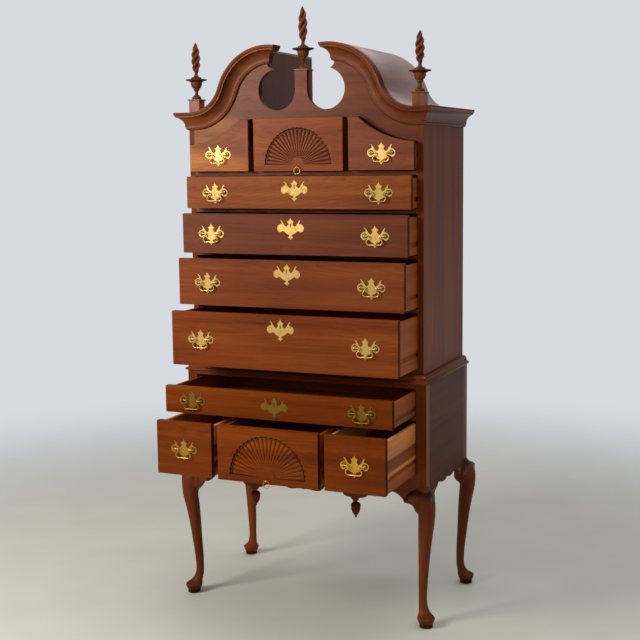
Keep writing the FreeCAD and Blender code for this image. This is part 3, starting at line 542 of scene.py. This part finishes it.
# the side cornices are drawn darker than the crown mouldings at the front: painted shade on the sides
dress("side_cornices", wood("cornice_walnut", "y", 63, brightness=0.66, shine=0.11), edge=0)
dress("bonnet_roof", wood("roof_walnut", "y", 64, brightness=0.82, shine=0.78))
dress("bonnet_inner_boards", wood("cheek_walnut", "z", 65, brightness=0.42, contrast=0.6))

# ---- plinths and flame finials -------------------------------------------------------------------
# A turned urn with a carved flame stands on each of three plinths. Plinths, urns and flames are
# walnut; an urn is turned in one piece, and its flame is pegged into its top.
warm_walnut = ((0.088, 0.0170, 0.0025), (0.212, 0.051, 0.0075), (0.345, 0.112, 0.0210))
dress("finial_plinths", wood("plinth_walnut", "z", 71, tones=warm_walnut, brightness=1.1, shine=0.20))
# radius, height above the plinth
urn_profile = [
    (0.0, 0.0), (0.0155, 0.0), (0.0170, 0.002), (0.0175, 0.0045), (0.0166, 0.008), (0.0130, 0.012),
    (0.0088, 0.0155), (0.0064, 0.019), (0.0057, 0.023), (0.0058, 0.027), (0.0068, 0.030), (0.0092, 0.0325),
    (0.0096, 0.0335), (0.0116, 0.0347), (0.0122, 0.0365), (0.0112, 0.0382), (0.0112, 0.0390),
    (0.0152, 0.0425), (0.0185, 0.0475), (0.0205, 0.0535), (0.0212, 0.0600), (0.0211, 0.0620),
    (0.0226, 0.0640), (0.0262, 0.0664), (0.0315, 0.0682), (0.0360, 0.0692), (0.0385, 0.0700),
    (0.0399, 0.0714), (0.0398, 0.0730), (0.0382, 0.0741), (0.0330, 0.0744), (0.0265, 0.0750),
    (0.0205, 0.0762), (0.0188, 0.0766), (0.0196, 0.0783), (0.0190, 0.0802), (0.0160, 0.0818),
    (0.0120, 0.0832), (0.0086, 0.0856), (0.0066, 0.0892), (0.0058, 0.0930), (0.0, 0.0930)]
flame_start, flame_tip = 0.0925, 0.0003
# share of the flame's height, reach of the three strands
flame_form = [
    (0.0, 0.0057), (0.06, 0.0078), (0.14, 0.0122), (0.24, 0.0152), (0.36, 0.0166), (0.50, 0.0170),
    (0.64, 0.0158), (0.76, 0.0132), (0.86, 0.0098), (0.94, 0.0056), (0.985, 0.0020), (1.0, 0.0004)]
sealed = 1e-6                  # points of a new mesh that are closer than this become one


def turn_up(mesh, profile, x, y, z, steps=48):
    """Revolve (radius, height) points about an upright line; the ends lie on the line."""
    turns = [2 * math.pi * n / steps for n in range(steps)]
    skin(mesh, [[Vector((x + r * math.cos(turn), y + r * math.sin(turn), z + h)) for turn in turns]
                for r, h in profile])
    bmesh.ops.remove_doubles(mesh, verts=mesh.verts, dist=sealed)


def flame(mesh, hollow, x, y, low, high, turns):
    """Three round strands laid together and twisted, rising to the right, ending in one point."""
    levels, around = 96, 60
    strand_place, strand_radius, round_foot = 0.52, 0.48, 0.97     # shares of the reach
    rings, shades = [], []
    for level in range(levels + 1):
        share = level / levels
        reach = along_line(flame_form, share)[0]
        blend = ease(0.0, 0.10, share) * (1 - 0.5 * ease(0.9, 1.0, share))
        ring, shade = [], []
        for step in range(around):
            angle = 2 * math.pi * step / around
            off = (angle * 3 / (2 * math.pi) + 0.5) % 1.0 - 0.5     # -0.5..0.5 across one strand
            lean = off * 2 * math.pi / 3
            bulge = strand_place * math.cos(lean) + math.sqrt(
                max(strand_radius ** 2 - (strand_place * math.sin(lean)) ** 2, 0.0))
            r = reach * (blend * bulge + (1 - blend) * round_foot)
            way = angle + 2 * math.pi * turns * share
            ring.append(Vector((x + r * math.cos(way), y + r * math.sin(way), low + (high - low) * share)))
            # painted shade in the grooves between the strands
            shade.append(blend * (2 * abs(off)) ** 4)
        rings.append(ring)
        shades.append(shade)
    rows = skin(mesh, rings)
    for row, shade in zip(rows, shades):
        for spot, value in zip(row, shade):
            spot[hollow] = value


finial_tones = ((0.080, 0.018, 0.005), (0.20, 0.052, 0.015), (0.32, 0.105, 0.038))
flame_wood = wood("finial_walnut", "z", 72, tones=finial_tones, carved=True, gloss=0.34,
                  brightness=0.88, shine=0.11)
urn_wood = wood("urn_walnut", "z", 73, tones=finial_tones, gloss=0.34, brightness=0.64, shine=0.12)
finial_low, finial_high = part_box("flame_finials")
plinth_low, plinth_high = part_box("finial_plinths")
lip = 0.041                    # radius that the frame gives the urns' lips
centre_y, corner_y = plinth_low.y + 0.028, plinth_low.y + 0.0285
centre_turns, corner_turns = 1.32, 1.47
corner_x, corner_top = finial_high.x - lip, finial_low.z + 0.209
finial_places = {"centre": (0.0, centre_y, plinth_high.z, finial_high.z, centre_turns),
                 "left": (-corner_x, corner_y, finial_low.z, corner_top, corner_turns),
                 "right": (corner_x, corner_y, finial_low.z, corner_top, corner_turns)}
for side, (x, y, low, high, turns) in finial_places.items():
    mesh = bmesh.new()
    turn_up(mesh, urn_profile, x, y, low)
    add_piece("urn_" + side, mesh, [urn_wood], replaces=["flame_finials"], crease=50)
    mesh = bmesh.new()
    hollow = mesh.verts.layers.float.new("hollow")
    flame(mesh, hollow, x, y, low + flame_start, high - flame_tip, turns)
    add_piece("flame_" + side, mesh, [flame_wood], replaces=["flame_finials"],
              crease=60)

# ---- drawers -------------------------------------------------------------------------------------
# Walnut fronts, and boxes of reddish boards with a groove for the runner in each side. The middle
# fronts of both rows of three are carved with a fan: rounded rays in a dished ground, a plain hub,
# a thin arc round their ends and a gouge cut past it for every hollow.
front_thick, front_clear = 0.021, 0.0005
box_board, box_gaps = 0.013, 0.0009 + 0.0008 + 0.0005
box_wall = box_board + box_gaps           # the sides of a box lie within this of the front's ends
box_tones = ((0.155, 0.034, 0.006), (0.325, 0.074, 0.015), (0.48, 0.135, 0.030))
pale_tones = ((0.46, 0.145, 0.038), (0.72, 0.26, 0.078), (0.88, 0.38, 0.135))
red_walnut = ((0.080, 0.0130, 0.0008), (0.190, 0.034, 0.0019), (0.320, 0.074, 0.0055))
# radius, radius of the hub, painted shade on the crests of the rays (below 0 painted light), and how
# strongly the hollows are darkened: partly patina in the cuts, partly painted shade
fans = {"top_centre": (0.131, 0.026, 0.16, 1.20), "bottom_centre": (0.147, 0.030, -0.34, 0.95)}
fan_above, fan_rays, ray_steps = 0.0231, 24, 10
key_below = 0.028              # from the top of a keyhole plate to its keyhole
# every front is its own board: its tones, how light it is and how much it shines; how light each is
# drawn partly paints the light and sheen falling on it
front_boards = {
    "upper_4": (walnut, 0.98, 0.09), "upper_3": (walnut, 0.97, 0.14),
    "upper_2": (walnut, 0.70, 0.16), "upper_1": (warm_walnut, 1.20, 0.10),
    "top_left": (walnut, 1.06, 0.13), "top_centre": (walnut, 1.18, 0.11), "top_right": (walnut, 0.93, 0.18),
    "lower_long": (red_walnut, 0.92, 0.05), "bottom_left": (red_walnut, 0.90, 0.07),
    "bottom_centre": (red_walnut, 1.00, 0.06), "bottom_right": (red_walnut, 0.95, 0.06)}


def fan_depths(radius, hub, angle, crest):
    """Stations (distance, depth, hollow) from the hub outwards at one angle of the fan; the hollow value is
    painted shade in the hollows, at the arc and in the gouge cuts, and `crest` on the crests.
    """
    hub_step, dish = 0.0011, 0.0036           # the ground drops beside the hub, then sinks outwards
    gouge, gouge_grows = 0.0010, 0.0026
    ray_end, ray_stations = 0.930, 22
    arc_inside, arc_outside, arc_depth = 0.950, 0.962, 0.0028
    place = angle / math.pi * fan_rays
    off = 2 * abs(place - math.floor(place) - 0.5)       # 0 on the crest of a ray, 1 in a hollow
    sag = 1 - math.sqrt(max(1 - 0.96 * off * off, 0.0))
    stations = [(hub * 0.5, 0.0, 0.0), (hub * 0.97, 0.0, 0.0), (hub * 1.01, hub_step, 0.25)]
    for step in range(1, ray_stations + 1):
        share = step / ray_stations
        stations.append((hub + (ray_end * radius - hub) * share,
                         hub_step + dish * share + (gouge + gouge_grows * share) * sag,
                         crest + (0.66 + 0.30 * share - crest) * off ** 1.9))
    stations += [(0.944 * radius, 0.0050 + 0.0014 * sag, 0.70 + 0.3 * off),
                 (arc_inside * radius, arc_depth, 0.1), (arc_outside * radius, arc_depth, 0.05),
                 (0.968 * radius, 0.0042 + 0.0014 * off, 0.45 + 0.5 * off)]
    rim = radius * (0.984 + 0.030 * off ** 1.5)          # the gouge cuts reach past the arc
    stations += [(rim - 0.0016, 0.0042 + 0.0010 * off, 0.5 + 0.45 * off), (rim, 0.0005, 0.35 + 0.3 * off),
                 (rim + 0.0007, 0.0, 0.0), (rim + 0.0020, 0.0, 0.0)]
    return stations


def fan_front(low, high, radius, hub, crest, patina_and_shade):
    """A drawer front between two corners, carved with a fan, as one closed mesh."""
    mesh = bmesh.new()
    hollow = mesh.verts.layers.float.new("hollow")
    base, face, back = low.z + fan_above, low.y, low.y + front_thick
    across, top = high.x, high.z - base

    def point(x, depth, up, shade=0.0):
        made = mesh.verts.new((x, face + depth, base + up))
        made[hollow] = min(patina_and_shade * shade, 1.0)
        return made

    edge_strip, steps = 0.002, fan_rays * ray_steps
    corner = math.atan2(top, across)
    angles = {math.pi * step / steps for step in range(steps + 1)} | {corner, math.pi - corner}
    middle = point(0.0, 0.0, 0.0)
    spokes = []
    for angle in sorted(angles):
        cosine, sine = math.cos(angle), math.sin(angle)
        reach = min(across / max(abs(cosine), 1e-9), top / max(sine, 1e-9))
        spoke = [point(r * cosine, depth, r * sine, shade)
                 for r, depth, shade in fan_depths(radius, hub, angle, crest)]
        spoke += [point(r * cosine, 0.0, r * sine) for r in (reach - edge_strip, reach)]
        spokes.append(spoke)
    for left, right in zip(spokes, spokes[1:]):
        mesh.faces.new((middle, left[0], right[0]))
        for pair in zip(left, left[1:], right[1:], right):
            mesh.faces.new(pair)
    # the plain strip below the fan starts flush, so a step stands along the base line
    flush = 1e-7
    ledge = [[point(spot.co.x, 0.0, 0.0) for spot in spokes[end]] for end in (0, -1)]
    foot = [[point(spot.co.x, 0.0, low.z - base) for spot in spokes[end]] for end in (0, -1)]
    foot_middle = point(0.0, 0.0, low.z - base)
    for end in (0, 1):
        step, strip, lower = spokes[-end], ledge[end], foot[end]
        drops = [(above.co - below.co).length > flush for above, below in zip(step, strip)]
        for n in range(len(step) - 1):
            if drops[n] or drops[n + 1]:
                mesh.faces.new((step[n], step[n + 1], strip[n + 1], strip[n]))
            mesh.faces.new((strip[n], strip[n + 1], lower[n + 1], lower[n]))
        mesh.faces.new((middle, strip[0], lower[0], foot_middle))
    bmesh.ops.remove_doubles(mesh, verts=mesh.verts, dist=sealed)
    # the ends and edges of the board run straight back from the rim of its face
    rim = {spot for line in mesh.edges if line.is_boundary for spot in line.verts}
    rim = sorted(rim, key=lambda spot: math.atan2(spot.co.z - base - top / 2, spot.co.x))
    behind = [mesh.verts.new((spot.co.x, back, spot.co.z)) for spot in rim]
    for n in range(len(rim)):
        mesh.faces.new((rim[n - 1], rim[n], behind[n], behind[n - 1]))
    mesh.faces.new(behind)
    return mesh


def boards_behind(node, limit):
    """The boards of a drawer without its front: the solids of the node that start behind `limit`."""
    mesh = bmesh.new()
    mesh.from_mesh(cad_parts[node].data)
    bmesh.ops.remove_doubles(mesh, verts=mesh.verts, dist=same_point)
    waiting = set(mesh.verts)
    while waiting:
        solid, edge_of = set(), [waiting.pop()]
        while edge_of:
            spot = edge_of.pop()
            solid.add(spot)
            for line in spot.link_edges:
                other = line.other_vert(spot)
                if other in waiting:
                    waiting.remove(other)
                    edge_of.append(other)
        if min(spot.co.y for spot in solid) < limit:
            bmesh.ops.delete(mesh, geom=list(solid), context="VERTS")
    return mesh


# the top left front turns golden towards its lower left corner: a painted highlight
golden_x, golden_z = 0.09, 0.055          # from the lower left corner of the top left front
pale_board, pale_strip_low, pale_strip_high = 0.118, 0.055, 0.073    # above a drawer's lower edge
for number, (name, (tones, brightness, shine)) in enumerate(front_boards.items()):
    low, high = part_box("drawer_" + name)
    behind = low.y + front_thick + front_clear
    middle = (low.z + high.z) / 2
    golden = (low.x + golden_x, low.z + golden_z) if name == "top_left" else None
    has_lock = name.startswith(("upper", "lower"))
    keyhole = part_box("brass_" + name)[1].z - key_below if has_lock else None
    draw = random.Random(100 + number)
    front = wood("front_" + name, "x", 200 + number, tilt=draw.uniform(0.02, 0.09), carved=name in fans,
                 pith=(low.y + draw.uniform(0.03, 0.09), middle + draw.uniform(-0.08, 0.08)),
                 tones=tones, brightness=brightness, shine=shine, highlight_corner=golden, keyhole=keyhole)
    # the sides of the two bottom corner drawers are glued up from pale and reddish boards
    pale = []
    if name in ("bottom_left", "bottom_right"):
        pale = [(low.z + pale_board, high.z), (low.z + pale_strip_low, low.z + pale_strip_high)]
    sides = wood("sides_" + name, "y", 300 + number, tones=box_tones, gloss=0.5, strips=pale,
                 strip_tones=pale_tones, shine=0.07)
    inside = wood("inside_" + name, "x", 400 + number, tones=box_tones, gloss=0.6, shine=0.07)

    def box_finish(face):
        """The first finish of the box on its sides, the second on its back and bottom."""
        return 0 if min(face.center.x - low.x, high.x - face.center.x) < box_wall else 1

    if name in fans:
        add_piece("fan_" + name, fan_front(low, high, *fans[name]), [front], body="drawer_" + name,
                  replaces=["drawer_" + name], crease=40)
        boards = boards_behind("drawer_" + name, behind - 2 * front_clear)
        add_piece("box_" + name, boards, [sides, inside], body="drawer_" + name,
                  replaces=["drawer_" + name], edge=0.0012, choose=box_finish)
    else:
        dress("drawer_" + name, front, sides, inside, edge=0.0018,
              choose=lambda face: 0 if face.center.y < behind else 1 + box_finish(face))

# ---- brass ---------------------------------------------------------------------------------------
# Cast bat-wing plates with two round-headed posts and a swinging bail, keyhole plates, and ring
# pulls under the fans. Their faces are polished; painted shade darkens their rims and rings each post.
brass_tones = ((0.90, 0.60, 0.205), (0.76, 0.475, 0.140), (0.50, 0.295, 0.078))
red_brass_tones = ((0.90, 0.52, 0.100), (0.76, 0.410, 0.066), (0.50, 0.255, 0.038))
post_shadow_colour = (0.055, 0.035, 0.012, 1.0)
plate_thick, post_apart, bail_wire = 0.0016, 0.076, 0.0022


def brass_finish(name, seed, brightness, rough, posts=None, base=brass_tones):
    """Cast brass, rubbed bright and patchy; `posts` is (|x| of a pull, its height): a ring of painted
    shadow lies round the foot of each post, the shadow of the post and its head."""
    shadow_starts, shadow_ends, shadow_wander = (0.0043, 0.0056), (0.0085, 0.0145), 0.004
    material, shader, place = new_finish(name, Metallic=1.0)
    draw = random.Random(seed)
    moved = place.stretched((1.0, 1.0, 1.0), tuple(draw.uniform(-5, 5) for _ in range(3)))
    patch = moved.cloud(60.0, 4.0, 0.65)
    speck = moved.cloud(900.0, 2.0)
    dull = patch.clamped(0.38, 0.68)
    tones = [tuple(brightness * part for part in tone) for tone in base]
    colour = patch.node("ValToRGB", {"stops": list(zip((0.25, 0.55, 0.8), tones))}, {0: patch})
    rough = rough + dull * 0.16 + speck * 0.06
    if posts:
        split = place.node("SeparateXYZ", {}, {0: place}).socket.node
        x, z = (Grain(place.tree, split.outputs[axis]) for axis in (0, 2))
        aside = ((x.math("ABSOLUTE") - posts[0]).math("ABSOLUTE") - post_apart / 2).math("ABSOLUTE")
        apart = (aside ** 2.0 + (z - posts[1]) * (z - posts[1])) ** 0.5
        shadow_ring = apart.clamped(*shadow_starts) * (1 - (apart + patch * shadow_wander).clamped(*shadow_ends))
        colour = colour.tint(post_shadow_colour, shadow_ring * 0.9)
        rough = rough + shadow_ring * 0.15
    relief = patch + speck * 0.15
    feed(shader, Base_Color=colour, Roughness=rough,
         Normal=place.node("Bump", {}, {"Strength": 0.3, "Distance": 0.0004, "Height": relief}))
    return material


# painted shade on the rims of the plates, where they meet the wood
rim_shade_brass = brass_finish("brass_painted_rim_shade", 502, 0.16, 0.5)
# how bright the brass of each drawer is drawn: partly rubbed, partly painted light and shade for the
# light falling on it; it is redder in the lower case
usual_brass = 0.68
brass_light_and_wear = {"lower_long": 0.27, "bottom_left": 0.55, "bottom_centre": 0.60, "bottom_right": 0.78,
              "upper_1": 0.49, "upper_3": 0.60, "top_left": 0.70, "top_centre": 0.58, "top_right": 0.72}
sideways, rim_area = 0.3, 2e-4
for number, name in enumerate(front_boards):
    rubbed_and_lit = brass_light_and_wear.get(name, usual_brass)
    base = red_brass_tones if name.startswith(("lower", "bottom")) else brass_tones
    hanging = [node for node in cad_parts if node.startswith(("bail_" + name, "ring_" + name))]
    low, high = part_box(hanging[0])
    posts = (abs(low.x + high.x) / 2, high.z - bail_wire) if hanging[0].startswith("bail") else None
    plate_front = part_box("drawer_" + name)[0].y - plate_thick - 0.0002

    def plate_finish(face):
        """Polished faces, and painted shade on the rim: the rim of a plate looks sideways and lies near the
        wood.
        """
        on_rim = abs(face.normal.y) < sideways and face.area < rim_area
        return 1 if on_rim and face.center.y > plate_front else 0

    polished = brass_finish("brass_" + name, 510 + number, rubbed_and_lit, 0.38, posts, base)
    dress("brass_" + name, polished, rim_shade_brass, edge=0.0005, choose=plate_finish)
    for node in hanging:
        dress(node, brass_finish(node + "_brass", 530 + number, rubbed_and_lit + 0.1, 0.27, base=base), edge=0)

# ---- floor, light and camera ---------------------------------------------------------------------
# A pale painted floor that fades into a soft grey-blue surround. One broad light stands at the
# front left, a weak fill at the right and a wide one above; the camera stands to the right.
floor_mesh = bpy.data.meshes.new("floor")
floor_half = 14.0
floor_corners = [(-floor_half, -floor_half, 0), (floor_half, -floor_half, 0),
                 (floor_half, floor_half, 0), (-floor_half, floor_half, 0)]
floor_mesh.from_pydata(floor_corners, [], [(0, 1, 2, 3)])
floor = bpy.data.objects.new("floor", floor_mesh)
bpy.context.scene.collection.objects.link(floor)
floor_tones = [(0.3, (0.665, 0.645, 0.555)), (0.7, (0.71, 0.69, 0.60))]
floor_finish, floor_shader, floor_place = new_finish("floor_paint", Roughness=0.55,
                                                     Specular_IOR_Level=0.25)
mottle = floor_place.cloud(3.0, 5.0)
feed(floor_shader, Base_Color=mottle.node("ValToRGB", {"stops": floor_tones}, {0: mottle}))


def seen_rays(tree):
    """Sockets that are 1 for what the camera sees: directly, in a gloss, through glass."""
    light_path = Grain(tree, None).node("LightPath", {}, {}).socket.node
    return [Grain(tree, light_path.outputs[name])
            for name in ("Is Camera Ray", "Is Glossy Ray", "Is Transmission Ray")]


# the floor fades into the backdrop with distance
surround, backdrop, backdrop_colour = 0.27, 0.85, (0.80, 0.83, 0.88, 1.0)
fade_starts, fade_ends = 1.5, 4.2
straight, glossy, through = seen_rays(floor_finish.node_tree)
away = floor_place.node("VectorMath", {"operation": "LENGTH"}, {0: floor_place}, output=1)
fade = away.clamped(fade_starts, fade_ends) * (straight + glossy + through).math("MINIMUM", 1.0)
haze = fade.node("Emission", {}, {"Color": backdrop_colour, "Strength": backdrop})
painted = Grain(floor_finish.node_tree, floor_shader.outputs[0])
blend = fade.node("MixShader", {}, {0: fade, 1: painted, 2: haze})
floor_output = floor_finish.node_tree.nodes["Material Output"]
floor_finish.node_tree.links.new(blend.socket, floor_output.inputs["Surface"])
floor_mesh.materials.append(floor_finish)

scene = bpy.context.scene
world = bpy.data.worlds.new("surround")
world.use_nodes = True
scene.world = world
background = world.node_tree.nodes["Background"]
background.inputs["Color"].default_value = backdrop_colour
straight, glossy, through = seen_rays(world.node_tree)
strength = surround + (backdrop - surround) * (straight + 0.5 * glossy + 0.5 * through)
world.node_tree.links.new(strength.socket, background.inputs["Strength"])


def area_light(name, place, target, size, power, colour):
    """A lamp of width and height `size` at a place, turned towards a target."""
    data = bpy.data.lights.new(name, "AREA")
    data.shape = "RECTANGLE"
    data.size, data.size_y = size
    data.energy = power
    data.color = colour
    lamp = bpy.data.objects.new(name, data)
    scene.collection.objects.link(lamp)
    lamp.location = place
    lamp.rotation_euler = (Vector(target) - Vector(place)).to_track_quat("-Z", "Y").to_euler()


half_way_up = (0.0, 0.0, 1.2)
area_light("window", (-1.9, -2.6, 2.4), half_way_up, (1.3, 1.3), 92.0, (1.0, 0.97, 0.93))
area_light("fill", (3.5, -3.0, 2.6), half_way_up, (2.5, 2.5), 16.0, (0.92, 0.96, 1.0))
area_light("ceiling", (0.6, 0.6, 4.2), (0.3, 0.0, 0.0), (4.0, 4.0), 75.0, (0.96, 0.98, 1.0))

# the camera stands at eye height, looks slightly down and leans by less than a degree
camera_place = (1.8025, -4.0302, 1.6851)
camera_data = bpy.data.cameras.new("camera")
camera_data.lens = 66.84
camera_data.sensor_width = 36.0
camera = bpy.data.objects.new("camera", camera_data)
scene.collection.objects.link(camera)
yaw, pitch, roll = (math.radians(angle) for angle in (23.764, -7.695, -0.687))
forward = Vector((-math.sin(yaw) * math.cos(pitch), math.cos(yaw) * math.cos(pitch), math.sin(pitch)))
level = forward.cross(Vector((0, 0, 1))).normalized()
upright = level.cross(forward)
right = level * math.cos(roll) + upright * math.sin(roll)
up = upright * math.cos(roll) - level * math.sin(roll)
camera.matrix_world = (Matrix.Translation(camera_place)
                       @ Matrix((right, up, -forward)).transposed().to_4x4())
scene.camera = camera
scene.view_settings.view_transform = "Standard"
